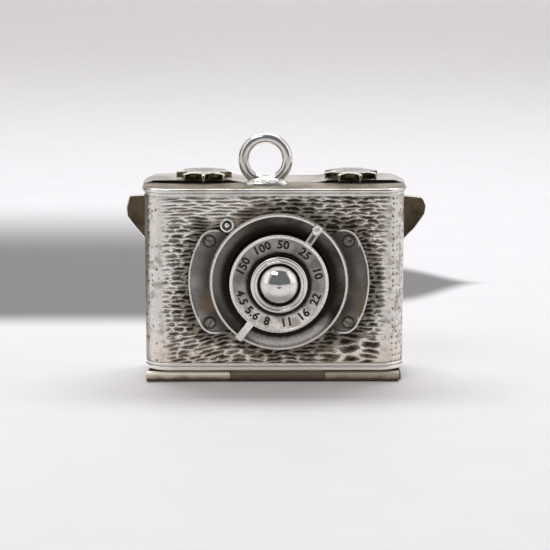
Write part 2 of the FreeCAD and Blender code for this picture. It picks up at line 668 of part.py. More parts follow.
def main():
    os.makedirs("parts", exist_ok=True)

    # Front cover: shell, hinge knuckle, lens group and bail
    save("cover_shell", make_cover_shell())
    save("cover_knuckle", make_cover_knuckle())
    save("lens_board", make_lens_board())
    save("board_screws", *make_board_screws())
    save("shutter_ring", make_shutter_ring())
    save("lens_drum", make_lens_drum())
    save("lens_bezel", make_lens_bezel())
    save("lens_dome", make_lens_dome())
    save("flash_socket", make_flash_socket())
    save("flash_socket_pin", make_flash_socket_pin())
    bail = make_bail_ring()
    save("bail_ring", bail)
    save("bail_solder_foot", make_bail_solder_foot(bail))

    # Dial that turns on the drum's neck
    save("number_dial", make_number_dial())

    # Picture stack in the cover, from its frame forward to the front wall
    y = COVER_FRAME_Y - PLATE_T
    save("cover_frame", make_cover_frame())
    save("cover_window", picture_sheet(y - WINDOW_T, WINDOW_T))
    save("cover_photo", picture_sheet(y - WINDOW_T - PRINT_T, PRINT_T))
    save("cover_tray", make_tray(y - WINDOW_T - PRINT_T, FRONT_INSIDE_Y))

    # Case: shell, base, hinge and roof, and its own picture stack
    save("rear_shell", make_rear_shell())
    save("base_plate", make_base_plate())
    save("case_knuckle_left", make_case_knuckle(HINGE_ENDS[0], COVER_KNUCKLE[0] - KNUCKLE_GAP))
    save("case_knuckle_right", make_case_knuckle(COVER_KNUCKLE[1] + KNUCKLE_GAP, HINGE_ENDS[1]))
    save("hinge_pin", make_hinge_pin())
    save("top_plate", make_top_plate())
    save("ear_frame_plate", make_ear_frame_plate())
    save("closing_rim", make_closing_rim())
    save("case_window", picture_sheet(PLATE_BACK, WINDOW_T))
    save("case_photo", picture_sheet(PLATE_BACK + WINDOW_T, PRINT_T))
    save("case_tray", make_tray(PLATE_BACK + WINDOW_T + PRINT_T, BACK_INSIDE_Y))

    # Knobs and the rivets they turn on
    for name, x, turn in zip(("left", "right"), KNOB_X, KNOB_TURN):
        save("knob_" + name, make_knob(x, turn))
        save("knob_rivet_" + name, make_knob_rivet(x))


main()
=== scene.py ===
"""Looks of the camera-shaped silver charm: struck bark, engraved dial, oxidised silver, soft light."""

import math

import bmesh
import bpy
import numpy as np
from mathutils import Euler, Matrix, Vector


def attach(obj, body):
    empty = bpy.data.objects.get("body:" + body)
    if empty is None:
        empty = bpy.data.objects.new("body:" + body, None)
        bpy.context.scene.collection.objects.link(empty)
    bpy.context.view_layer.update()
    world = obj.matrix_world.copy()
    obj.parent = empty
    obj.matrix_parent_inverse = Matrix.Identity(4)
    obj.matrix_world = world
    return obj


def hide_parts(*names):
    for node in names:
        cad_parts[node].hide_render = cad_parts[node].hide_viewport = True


MM = 0.001

# Sizes that follow the solids, in millimetres
WALL_HALF_W = 10.9
CORNER_R = 2.0
COVER_FACE_Y = -3.7
CASE_BACK_Y = 4.0
LENS = Vector((0.37, COVER_FACE_Y, 8.7))
COVER_SKIN_Z = (1.62, 15.98)  # lower and upper border of the bark on the front cover
CASE_SKIN_Z = (1.12, 15.76)
COVER_SEAM_Y = -0.05
CASE_SEAM_Y = 0.35
BOARD_DISC_R = 5.86
WING_R = 7.63
WING_HALF_H = 4.47
WING_END = Vector((5.45, 0, 3.12))  # centres of the wings' round ends, from the lens axis
SCREW_X = 5.84  # from the lens axis, as is SCREW_Z
SCREW_Z = 3.5
SOCKET = Vector((LENS.x - 4.35, COVER_FACE_Y, LENS.z + 4.84))
BAIL_X = -0.74
BAIL_WIRE_X = 1.15  # from the bail's middle to its wire, just above the foot
FOOT = Vector((-0.66, -1.1, 16.6))
FOOT_HALF_W = 1.9
FOOT_HALF_D = 1.05
FOOT_H = 0.62
DIAL_FACE_H = 1.24
NUMBER_R = 3.34
UPPER_ARM_ANGLE = 35.5  # clockwise from the top
PRINT_HALF_W = 6.2
PRINT_HALF_H = 4.6
PRINT_MIDDLE_Z = 8.6

# Sizes of the relief, in millimetres
BARK_H = 0.09
SKIN_LIFT = 0.012  # the bark's deepest hollows stand this far off the wall
SKIN_BACK = 0.03  # the skin's hidden back lies this deep in the wall
SKIN_RIM = 0.12  # the relief fades to nothing over this height at both borders
SKIN_STEP_ALONG = 0.084
SKIN_STEP_UP = 0.056
NUMBER_SIZE = 0.98
NUMBER_WEIGHT = 0.036  # added round each stroke
NUMBER_DEPTH = 0.09
SOFT_EDGE = 0.03  # sharp edges are shaded as if rounded by this radius

# Numbers on the dial: text, degrees clockwise from the top, and whether its top points outwards
NUMBERS = [
    ("150", -63, True),
    ("100", -25, True),
    ("50", 6, True),
    ("25", 40, True),
    ("10", 74, True),
    ("22", 113, False),
    ("16", 142, False),
    ("11", 169, False),
    ("8", 198, False),
    ("5.6", 222, False),
    ("4.5", 250, False),
]


# ---- numbers for patterns -----------------------------------------------------------------------
def hash01(i, j, seed):
    """A repeatable number from 0 to 1 for each pair of whole numbers."""
    value = np.sin(i * 127.1 + j * 311.7 + seed * 74.7) * 43758.5453
    return value - np.floor(value)


def smooth(low, high, x):
    """Eases from 0 at low to 1 at high; low may be the larger."""
    t = np.clip((x - low) / (high - low), 0, 1)
    return t * t * (3 - 2 * t)


def value_noise(u, v, seed):
    """Smooth noise from 0 to 1 with one value on each whole number."""
    i, j = np.floor(u), np.floor(v)
    fu, fv = smooth(0, 1, u - i), smooth(0, 1, v - j)
    low = hash01(i, j, seed) * (1 - fu) + hash01(i + 1, j, seed) * fu
    high = hash01(i, j + 1, seed) * (1 - fu) + hash01(i + 1, j + 1, seed) * fu
    return low * (1 - fv) + high * fv


def soft_noise(u, v, seed):
    """Two octaves of noise between -1 and 1."""
    total = value_noise(u, v, seed) * 0.65 + value_noise(u * 2.1, v * 2.1, seed + 5) * 0.35
    return total * 2 - 1


def cell_edges(u, v, seed):
    """Distance between the nearest and the second nearest of scattered points: 0 on cell borders."""
    i, j = np.floor(u), np.floor(v)
    near = np.full_like(u, 9.0)
    second = np.full_like(u, 9.0)
    for di in (-1, 0, 1):
        for dj in (-1, 0, 1):
            pu = i + di + 0.1 + 0.8 * hash01(i + di, j + dj, seed)
            pv = j + dj + 0.1 + 0.8 * hash01(i + di, j + dj, seed + 11)
            d = np.hypot(u - pu, v - pv)
            second = np.minimum(second, np.maximum(near, d))
            near = np.minimum(near, d)
    return second - near


def pits(u, v, seed, share):
    """1 in the middle of small scattered pits, 0 outside them."""
    i, j = np.floor(u), np.floor(v)
    pu = i + 0.35 + 0.3 * hash01(i, j, seed)
    pv = j + 0.35 + 0.3 * hash01(i, j, seed + 3)
    present = hash01(i, j, seed + 7) < share
    size = 0.2 + 0.16 * hash01(i, j, seed + 9)
    return np.where(present, 1 - smooth(0.4, 1.0, np.hypot(u - pu, (v - pv) * 0.8) / size), 0)


def hollows(x, z, length, pitch, seed):
    """Rows of long shallow pits with wavy ridges between them, 1 on the ridges."""
    row = z / pitch
    j = np.floor(row)
    u = x / length + 7 * hash01(j, 0, seed) + 0.35 * soft_noise(x / length, row * 0.7, seed + 1)
    i = np.floor(u)
    across = 0.25 * (hash01(i, j, seed + 2) - 0.5)
    half = 0.34 + 0.22 * hash01(i, j, seed + 3)
    deep = 0.5 + 0.5 * hash01(i, j, seed + 4)
    fu = np.abs(u - i - 0.5) / 0.5
    fv = np.abs(row - j - 0.5 - across) / half
    return 1 - deep * (1 - smooth(0.25, 1.0, np.sqrt(fu**3 + fv**2)))


def beyond_lens_board(x, z):
    """Distance outwards from the lens board's outline, below 0 on the board."""
    dx, dz = x - LENS.x, np.abs(z - LENS.z)
    reach = np.hypot(dx, dz)
    return np.minimum(reach - BOARD_DISC_R, np.maximum(reach - WING_R, dz - WING_HALF_H))


def bark_height(x, z, seed):
    """Height of the struck bark from 0 to 1 and how worn it is, 1 round the smooth corners.

    x runs along the wall and goes on round the corner, so it passes the wall's half width there.
    """
    wave = 0.24 * soft_noise(x * 0.5, z * 0.55, seed) + 0.1 * soft_noise(x * 1.3, z * 1.2, seed + 1)
    wave = wave + 0.035 * soft_noise(x * 4.0, z * 2.5, seed + 2)
    low_left = smooth(-2.0, -6.0, x) * smooth(6.0, 3.5, z)
    level = z + wave - 0.16 * (x + 4) * low_left
    height = hollows(x, level, 1.5, 0.35, seed + 3)
    height = height - 0.3 * (1 - hollows(x, level + 0.1, 0.7, 0.21, seed + 8))

    # Finer, straighter lines at the upper left
    lines = 1 - 0.75 * (1 - hollows(x, z + 0.6 * wave, 2.2, 0.28, seed + 13))
    upper_left = smooth(0.5, -3.5, x) * smooth(12.2, 13.6, z)
    height = height + (lines - height) * upper_left

    # Large cells at the lower right
    cells = 1 - smooth(0.08, 0.75, cell_edges(x / 1.8, level / 0.62, seed + 18))
    low_right = smooth(3.0, 6.5, x) * smooth(4.6, 3.6, z)
    height = height + (cells - height) * low_right

    # Short teeth beside the lens board
    teeth = hollows(x, z + 0.5 * wave, 1.15, 0.4, seed + 23)
    teeth = teeth - 0.35 * (1 - hollows(x, z + wave, 0.5, 0.23, seed + 28))
    beside = smooth(7.0, 7.6, np.abs(x - LENS.x)) * (1 - smooth(4.0, 5.6, np.abs(z - LENS.z)))
    height = height + (teeth - height) * beside
    height = np.clip(height, 0, 1) ** 1.4

    # Smooth corners with scattered pits
    worn = smooth(8.4, 9.8, np.abs(x) + 0.5 * soft_noise(x * 0.7, z * 1.6, seed + 33))
    worn = worn * (1 - 0.8 * smooth(12.6, 13.6, np.abs(x)))
    column = pits(x / 0.62, z / 0.5, seed + 35, 0.3 + 0.55 * (x > 0))
    dots = pits(x / 0.4, z / 0.42, seed + 38, 0.25)
    plain = 0.9 - 0.7 * column * smooth(9.6, 10.0, np.abs(x)) - 0.3 * dots
    plain = plain + 0.1 * soft_noise(x * 1.4, z * 2.6, seed + 41)
    height = height + (plain - height) * worn
    return np.clip(height, 0, 1), worn


# ---- meshes -------------------------------------------------------------------------------------
def new_object(name, verts, faces, smooth_shading=True):
    mesh = bpy.data.meshes.new(name)
    mesh.from_pydata([tuple(v) for v in verts], [], [tuple(f) for f in faces])
    mesh.validate()
    mesh.update()
    if smooth_shading:
        mesh.polygons.foreach_set("use_smooth", [True] * len(mesh.polygons))
    obj = bpy.data.objects.new(name, mesh)
    bpy.context.scene.collection.objects.link(obj)
    return obj


def copy_of(node, name):
    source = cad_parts[node]
    obj = bpy.data.objects.new(name, source.data.copy())
    bpy.context.scene.collection.objects.link(obj)
    return obj


def join(objects, name):
    bpy.ops.object.select_all(action="DESELECT")
    for obj in objects:
        obj.select_set(True)
    bpy.context.view_layer.objects.active = objects[0]
    bpy.ops.object.join()
    objects[0].name = name
    return objects[0]


def plan_curve(face_y, seam_y, step):
    """Points and outward normals, in millimetres, along the wall's outline from seam to seam."""
    way = 1 if face_y > seam_y else -1
    straight = abs(face_y - seam_y) - CORNER_R
    half = WALL_HALF_W - CORNER_R
    arc = math.pi / 2 * CORNER_R
    total = 2 * straight + 2 * arc + 2 * half
    points = []
    for s in np.linspace(0, total, int(total / step) + 1):
        mirror = s > total / 2
        t = total - s if mirror else s
        if t < straight:
            p, n = (-WALL_HALF_W, seam_y + way * t), (-1.0, 0.0)
        elif t < straight + arc:
            a = (t - straight) / CORNER_R
            centre_y = seam_y + way * straight
            p = (-half - CORNER_R * math.cos(a), centre_y + way * CORNER_R * math.sin(a))
            n = (-math.cos(a), way * math.sin(a))
        else:
            p, n = (-half + t - straight - arc, face_y), (0.0, way)
        side = -1 if mirror else 1
        points.append((side * p[0], p[1], side * n[0], n[1]))
    return np.array(points)


def bark_skin(name, face_y, seam_y, z0, z1, seed, oxide_and_painted_reflection_of):
    """A closed sheet over a shell's wall whose outside carries the struck bark.

    Its hidden back is one strip of long faces from the lower border to the upper one.
    """
    curve = plan_curve(face_y, seam_y, SKIN_STEP_ALONG)
    heights = np.linspace(z0, z1, int((z1 - z0) / SKIN_STEP_UP) + 1)
    count_s, count_z = len(curve), len(heights)
    x, y, nx, ny = (np.repeat(curve[:, k][:, None], count_z, 1) for k in range(4))
    z = np.repeat(heights[None, :], count_s, 0)
    along = x + np.sign(x) * np.abs(y - face_y)
    height, worn = bark_height(along, z, seed)
    rim = np.clip(np.minimum(z - z0, z1 - z) / SKIN_RIM, 0, 1)
    out = SKIN_LIFT + BARK_H * height * rim
    outer = np.stack([x + nx * out, y + ny * out, z], 2).reshape(-1, 3)
    inner = curve[:, :2] - SKIN_BACK * curve[:, 2:]
    back = np.concatenate([np.column_stack([inner, np.full(count_s, h)]) for h in (z0, z1)])
    index = np.arange(count_s * count_z).reshape(count_s, count_z)
    low = len(outer) + np.arange(count_s)
    high = low + count_s
    faces = np.stack([index[:-1, :-1], index[1:, :-1], index[1:, 1:], index[:-1, 1:]], 2).reshape(-1, 4)
    strips = [
        (high[:-1], high[1:], low[1:], low[:-1]),
        (low[:-1], low[1:], index[1:, 0], index[:-1, 0]),
        (index[:-1, -1], index[1:, -1], high[1:], high[:-1]),
    ]
    faces = [tuple(f) for f in faces] + [tuple(f) for strip in strips for f in np.stack(strip, 1)]
    faces.append((high[0], low[0], *index[0]))
    faces.append((low[-1], high[-1], *index[-1, ::-1]))
    if face_y > seam_y:
        faces = [face[::-1] for face in faces]
    obj = new_object(name, np.concatenate([outer, back]) * MM, faces)
    for key, values in (("bark", height), ("oxide_and_painted_reflection", oxide_and_painted_reflection_of(along, z)), ("worn", worn)):
        layer = obj.data.attributes.new(key, "FLOAT", "POINT")
        padded = np.concatenate([values.ravel(), np.zeros(len(back))])
        layer.data.foreach_set("value", padded.astype(np.float32))
    return obj


def cover_oxide_and_painted_reflection(x, z):
    """Oxide round the lens board and a little to the right and above; a painted dark reflection along the
    left upright corner.
    """
    beyond = beyond_lens_board(x, z) + 0.45 * soft_noise(x * 0.8, z * 0.8, 71)
    # Painted dark reflection down the left upright corner, not oxide
    corner = smooth(-10.7, -12.0, x + 0.25 * soft_noise(x, z * 2.0, 73))
    corner = corner * (0.7 + 0.3 * smooth(7.5, 10.5, z))
    corner = corner * (1 - 0.6 * smooth(-13.2, -14.2, x))
    right = 0.14 * smooth(0.5, 4.0, x) * (1 - smooth(8.4, 9.4, x))
    above = 0.14 * smooth(12.0, 13.5, z) * (1 - smooth(8.0, 9.0, np.abs(x)))
    near = 1 - smooth(-0.1, 1.5, beyond)
    return np.clip(np.maximum(near + right + above, corner), 0, 1)


def rear_patina(x, z):
    """Even oxide with soft clouds."""
    return 0.3 + 0.25 * soft_noise(x * 0.3, z * 0.3, 72)


def lens_matrix(clockwise_from_top):
    """Turns things that face the viewer round the lens axis."""
    turn = Matrix.Rotation(math.radians(clockwise_from_top), 4, Vector((0, 1, 0)))
    return Matrix.Translation(LENS * MM) @ turn


def number_cutter():
    """Solid letters for every number on the dial, standing across the dial's face."""
    made = []
    for text, angle, outward in NUMBERS:
        curve = bpy.data.curves.new("number", "FONT")
        curve.body = text
        curve.size = NUMBER_SIZE * MM
        curve.align_x = "CENTER"
        curve.align_y = "CENTER"
        curve.extrude = NUMBER_DEPTH * MM
        curve.offset = NUMBER_WEIGHT * MM
        curve.resolution_u = 3
        curve.space_character = 1.06
        obj = bpy.data.objects.new("number", curve)
        bpy.context.scene.collection.objects.link(obj)
        upright = Euler((math.radians(90), 0, 0)).to_matrix().to_4x4()
        flip = Matrix.Identity(4) if outward else Matrix.Rotation(math.pi, 4, Vector((0, 1, 0)))
        place = Matrix.Translation(Vector((0, -DIAL_FACE_H, NUMBER_R)) * MM)
        obj.matrix_world = lens_matrix(angle) @ place @ flip @ upright
        bpy.ops.object.select_all(action="DESELECT")
        obj.select_set(True)
        bpy.context.view_layer.objects.active = obj
        bpy.ops.object.convert(target="MESH")
        made.append(bpy.context.view_layer.objects.active)
    return join(made, "number_cutter")


def groove_cutter(half_w, near, far, clockwise_from_top):
    """A wedge over an arm; near and far give its floor as (distance from the axis, height)."""
    corners = [(x, -h, r) for x in (-half_w, half_w) for r, floor_h in (near, far) for h in (floor_h, 2.0)]
    faces = [(0, 1, 3, 2), (4, 6, 7, 5), (0, 4, 5, 1), (2, 3, 7, 6), (0, 2, 6, 4), (1, 5, 7, 3)]
    obj = new_object("groove_cutter", [Vector(c) * MM for c in corners], faces, False)
    obj.data.transform(lens_matrix(clockwise_from_top))
    make_faces_point_out(obj)
    return obj


def lump(name, centre, radii, clockwise_from_top):
    """A small uneven bead of metal."""
    mesh = bmesh.new()
    bmesh.ops.create_icosphere(mesh, subdivisions=4, radius=1.0)
    for vert in mesh.verts:
        uneven = 1 + 0.08 * math.sin(4 * vert.co.x + 2 * vert.co.z) * math.cos(3 * vert.co.z)
        vert.co = (centre + Vector(a * b for a, b in zip(vert.co, radii)) * uneven) * MM
    obj = new_object(name, [], [])
    mesh.to_mesh(obj.data)
    mesh.free()
    obj.data.transform(lens_matrix(clockwise_from_top))
    obj.data.polygons.foreach_set("use_smooth", [True] * len(obj.data.polygons))
    return obj


def solder_mound():
    """Uneven mound round the foot of the bail, climbing a little way up its wire."""
    rings, spokes = 28, 96
    verts = [(FOOT.x, FOOT.y, FOOT.z - 0.02)]
    for k in range(rings):
        reach = math.sin((1 - k / rings) * math.pi / 2)
        for turn in np.linspace(0, 2 * math.pi, spokes, endpoint=False):
            x = FOOT.x + FOOT_HALF_W * reach * math.cos(turn)
            y = FOOT.y + FOOT_HALF_D * reach * math.sin(turn)
            aside = (abs(x - BAIL_X) - BAIL_WIRE_X) / 0.3
            wire = math.exp(-(aside**2) - ((y - FOOT.y) / 0.5) ** 2)
            uneven = float(soft_noise(np.array([x * 2.4]), np.array([y * 2.4]), 91)[0])
            rise = math.sqrt(max(1 - reach**2, 0)) * FOOT_H * (1 + 0.22 * uneven)
            verts.append((x, y, FOOT.z + rise + 0.3 * wire * (1 - reach**2)))
    verts.append((FOOT.x, FOOT.y, FOOT.z + FOOT_H))
    top = len(verts) - 1
    faces = []
    for i in range(spokes):
        j = (i + 1) % spokes
        faces.append((0, 1 + j, 1 + i))
        for k in range(rings - 1):
            a = 1 + k * spokes
            faces.append((a + i, a + j, a + spokes + j, a + spokes + i))
        faces.append((1 + (rings - 1) * spokes + i, 1 + (rings - 1) * spokes + j, top))
    return new_object("bail_solder_mound", [Vector(v) * MM for v in verts], faces)


def make_faces_point_out(obj):
    mesh = bmesh.new()
    mesh.from_mesh(obj.data)
    bmesh.ops.recalc_face_normals(mesh, faces=mesh.faces)
    mesh.to_mesh(obj.data)
    mesh.free()


def apply_boolean(obj, cutter, material, operation):
    """Cuts or joins another solid; the faces that it leaves have its material."""
    dress(cutter, material)
    modifier = obj.modifiers.new("solid", "BOOLEAN")
    modifier.operation = operation
    modifier.solver = "EXACT"
    modifier.material_mode = "TRANSFER"
    modifier.object = cutter
    bpy.context.view_layer.objects.active = obj
    bpy.ops.object.modifier_apply(modifier=modifier.name)
    bpy.data.objects.remove(cutter)


# ---- materials ----------------------------------------------------------------------------------
class Nodes:
    """Short calls for building the node tree of one material, or of the world."""

    def __init__(self, name, owner=None):
        self.material = owner or bpy.data.materials.new(name)
        self.material.use_nodes = True
        self.tree = self.material.node_tree
        self.shader = self.tree.nodes.get("Principled BSDF")
        self.object_coords = self.add("ShaderNodeTexCoord").outputs["Object"]

    def add(self, kind, **settings):
        node = self.tree.nodes.new(kind)
        for key, value in settings.items():
            setattr(node, key, value)
        return node

    def feed(self, target, value):
        if isinstance(value, bpy.types.NodeSocket):
            self.tree.links.new(value, target)
        elif isinstance(value, tuple) and len(value) == 3 and target.type == "RGBA":
            target.default_value = (*value, 1)
        else:
            target.default_value = value

    def math(self, operation, a, b=0.0, c=0.0):
        node = self.add("ShaderNodeMath", operation=operation)
        for target, value in zip(node.inputs, (a, b, c)):
            self.feed(target, value)
        return node.outputs[0]

    def sum(self, *terms):
        total = terms[0]
        for term in terms[1:]:
            total = self.math("ADD", total, term)
        return total

    def times(self, a, b):
        return self.math("MULTIPLY", a, b)

    def minus(self, a, b):
        return self.math("SUBTRACT", a, b)

    def size_of(self, a):
        """The value without its sign."""
        return self.math("ABSOLUTE", a)

    def sway(self, noise, amount):
        """Noise that swings about 0, by half the amount each way."""
        return self.times(self.minus(noise, 0.5), amount)

    def between(self, low, high, x, to_low=0.0, to_high=1.0):
        node = self.add("ShaderNodeMapRange", interpolation_type="SMOOTHSTEP")
        for target, value in zip(node.inputs, (x, low, high, to_low, to_high)):
            self.feed(target, value)
        return node.outputs[0]

    def mix(self, factor, a, b):
        node = self.add("ShaderNodeMix", data_type="RGBA")
        self.feed(node.inputs[0], factor)
        self.feed(node.inputs[6], a)
        self.feed(node.inputs[7], b)
        return node.outputs[2]

    def noise(self, per_mm, detail=3.0, stretch=(1, 1, 1)):
        """Noise that repeats about this many times in a millimetre."""
        mapping = self.add("ShaderNodeMapping")
        mapping.inputs["Scale"].default_value = [per_mm / MM * s for s in stretch]
        self.tree.links.new(self.object_coords, mapping.inputs["Vector"])
        node = self.add("ShaderNodeTexNoise")
        node.inputs["Scale"].default_value = 1.0
        node.inputs["Detail"].default_value = detail
        self.tree.links.new(mapping.outputs[0], node.inputs["Vector"])
        return node.outputs["Fac"]

    def attribute(self, name):
        return self.add("ShaderNodeAttribute", attribute_name=name).outputs["Fac"]

    def place(self):
        """X, Y and Z of the shaded point, in millimetres."""
        split = self.add("ShaderNodeSeparateXYZ")
        scale = self.add("ShaderNodeVectorMath", operation="SCALE")
        self.tree.links.new(self.object_coords, scale.inputs[0])
        scale.inputs["Scale"].default_value = 1 / MM
        self.tree.links.new(scale.outputs[0], split.inputs[0])
        return split.outputs

    def length(self, a, b):
        return self.math("SQRT", self.sum(self.times(a, a), self.times(b, b)))

    def radius_from(self, centre):
        """Distance, in millimetres, from an axis that runs along Y."""
        x, _, z = self.place()
        return self.length(self.minus(x, centre.x), self.minus(z, centre.z))

    def facing(self, axis):
        """X, Y or Z part of the surface's own direction at rest; facing("Z") is 1 on level tops."""
        geometry = self.add("ShaderNodeTexCoord")
        split = self.add("ShaderNodeSeparateXYZ")
        self.tree.links.new(geometry.outputs["Normal"], split.inputs[0])
        return split.outputs[axis]

    def edges(self, radius_mm, low=0.01, high=0.12):
        """1 along edges: where the direction softened over a radius departs from the true one."""
        bevel = self.add("ShaderNodeBevel", samples=6)
        bevel.inputs["Radius"].default_value = radius_mm * MM
        true = self.add("ShaderNodeNewGeometry").outputs["Normal"]
        dot = self.add("ShaderNodeVectorMath", operation="DOT_PRODUCT")
        self.tree.links.new(bevel.outputs[0], dot.inputs[0])
        self.tree.links.new(true, dot.inputs[1])
        return self.between(low, high, self.minus(1.0, dot.outputs["Value"]))

    def relief(self, height, depth_mm, bevel_mm=0.0):
        bump = self.add("ShaderNodeBump")
        bump.inputs["Distance"].default_value = depth_mm * MM
        bump.inputs["Strength"].default_value = 1.0
        self.feed(bump.inputs["Height"], height)
        if bevel_mm:
            bevel = self.add("ShaderNodeBevel", samples=4)
            bevel.inputs["Radius"].default_value = bevel_mm * MM
            self.tree.links.new(bevel.outputs[0], bump.inputs["Normal"])
        self.tree.links.new(bump.outputs[0], self.shader.inputs["Normal"])

    def finish(self, color, roughness, metallic=1.0):
        self.feed(self.shader.inputs["Base Color"], color)
        self.feed(self.shader.inputs["Roughness"], roughness)
        self.feed(self.shader.inputs["Metallic"], metallic)
        return self.material


BRIGHT = (0.86, 0.84, 0.80)
RUBBED = (0.96, 0.94, 0.90)
SILVER = (0.70, 0.68, 0.64)
OXIDE = (0.030, 0.027, 0.023)
BROWN = (0.15, 0.105, 0.06)


def silver(name, clean, tarnish, amount, rough, dent_mm=0.004):
    """Smooth silver with soft tarnish clouds, fine scratches and small dents."""
    m = Nodes(name)
    cloud = m.between(0.42, 0.72, m.noise(0.35, 4.0))
    speck = m.between(0.58, 0.75, m.noise(2.2, 5.0))
    mask = m.sum(m.times(cloud, amount), m.times(speck, amount * 0.6))
    mask = m.math("MINIMUM", mask, 1.0)
    color = m.mix(mask, clean, tarnish)
    scratch = m.noise(5.0, 3.0, (1, 1, 0.12))
    roughness = m.sum(m.times(scratch, 0.14), m.times(mask, 0.22), rough)
    dents = m.sum(m.times(m.noise(0.9, 2.0), 2.0), scratch)
    m.relief(dents, dent_mm, SOFT_EDGE)
    return m.finish(color, roughness)


def shell_silver():
    """The smooth lips are bright, the lower lip more so with a painted highlight; the level tops between
    knobs and lips keep an olive tarnish darkened by a painted dark reflection.
    """
    m = Nodes("shell_silver")
    cloud = m.between(0.4, 0.7, m.noise(0.45, 4.0))
    # Level tops: olive tarnish plus a painted dark reflection
    top = m.between(0.8, 0.98, m.facing("Z"))
    clean = m.mix(m.times(cloud, 0.3), BRIGHT, BROWN)
    tarnish = m.mix(cloud, (0.33, 0.30, 0.22), (0.16, 0.125, 0.08))
    scratch = m.noise(4.0, 3.0, (0.2, 1, 1))
    m.relief(m.sum(m.times(m.noise(0.7, 2.0), 2.0), scratch), 0.006, SOFT_EDGE)
    roughness = m.sum(m.times(scratch, 0.15), m.times(top, 0.2), 0.12)
    _, _, z = m.place()
    # Painted highlight: the lower lip is paler and less metallic
    lower_lip_painted_highlight = m.between(1.9, 1.5, z)
    clean = m.mix(lower_lip_painted_highlight, clean, (1.0, 0.97, 0.93))
    dull = m.math("MAXIMUM", top, lower_lip_painted_highlight)
    return m.finish(m.mix(top, clean, tarnish), roughness, m.between(0.0, 1.0, dull, 1.0, 0.6))


def bark_silver():
    """Struck bark: worn ridges over grey, brown and olive hollows that blacken round the lens."""
    m = Nodes("bark_silver")
    bark = m.attribute("bark")
    oxide_and_painted_reflection = m.attribute("oxide_and_painted_reflection")
    worn = m.attribute("worn")
    grain = m.noise(4.0, 4.0)
    # Oxide round the lens, and a painted dark reflection on the cover's left upright corner, darken
    # hollows and ridges from here on
    depth = m.sum(m.minus(1.0, bark), m.sway(grain, 0.5), m.times(oxide_and_painted_reflection, 0.55))
    depth = m.minus(depth, m.times(worn, 0.12))
    tint = m.between(0.40, 0.60, m.noise(0.22, 2.0))
    warm = m.mix(tint, (0.29, 0.245, 0.19), (0.30, 0.275, 0.22))
    clean = m.mix(m.between(0.4, 0.7, m.noise(0.7, 3.0)), (1.0, 0.965, 0.91), (0.80, 0.765, 0.71))
    clean = m.mix(m.times(worn, 0.5), clean, (0.58, 0.56, 0.53))
    _, _, z = m.place()
    clean = m.mix(m.between(6.0, 1.5, z, 0.0, 0.5), clean, (0.90, 0.76, 0.64))
    warm = m.mix(m.between(6.0, 1.5, z, 0.0, 0.5), warm, (0.28, 0.20, 0.14))
    clean = m.mix(m.between(0.15, 0.9, oxide_and_painted_reflection, 0.0, 0.92), clean, (0.31, 0.27, 0.22))
    speck = m.times(m.between(0.50, 0.64, m.noise(1.1, 5.0)), m.times(worn, 0.7))
    clean = m.mix(speck, clean, (0.33, 0.30, 0.26))
    color = m.mix(m.between(0.08, 0.55, depth), clean, warm)
    color = m.mix(m.between(0.62, 1.15, depth), color, OXIDE)
    roughness = m.sum(m.between(0.2, 0.8, depth, 0.0, 0.22), m.times(grain, 0.2), 0.14)
    m.relief(m.sum(grain, m.noise(1.5, 2.0)), 0.012)
    return m.finish(color, roughness, m.between(0.1, 0.4, depth, 0.72, 1.0))


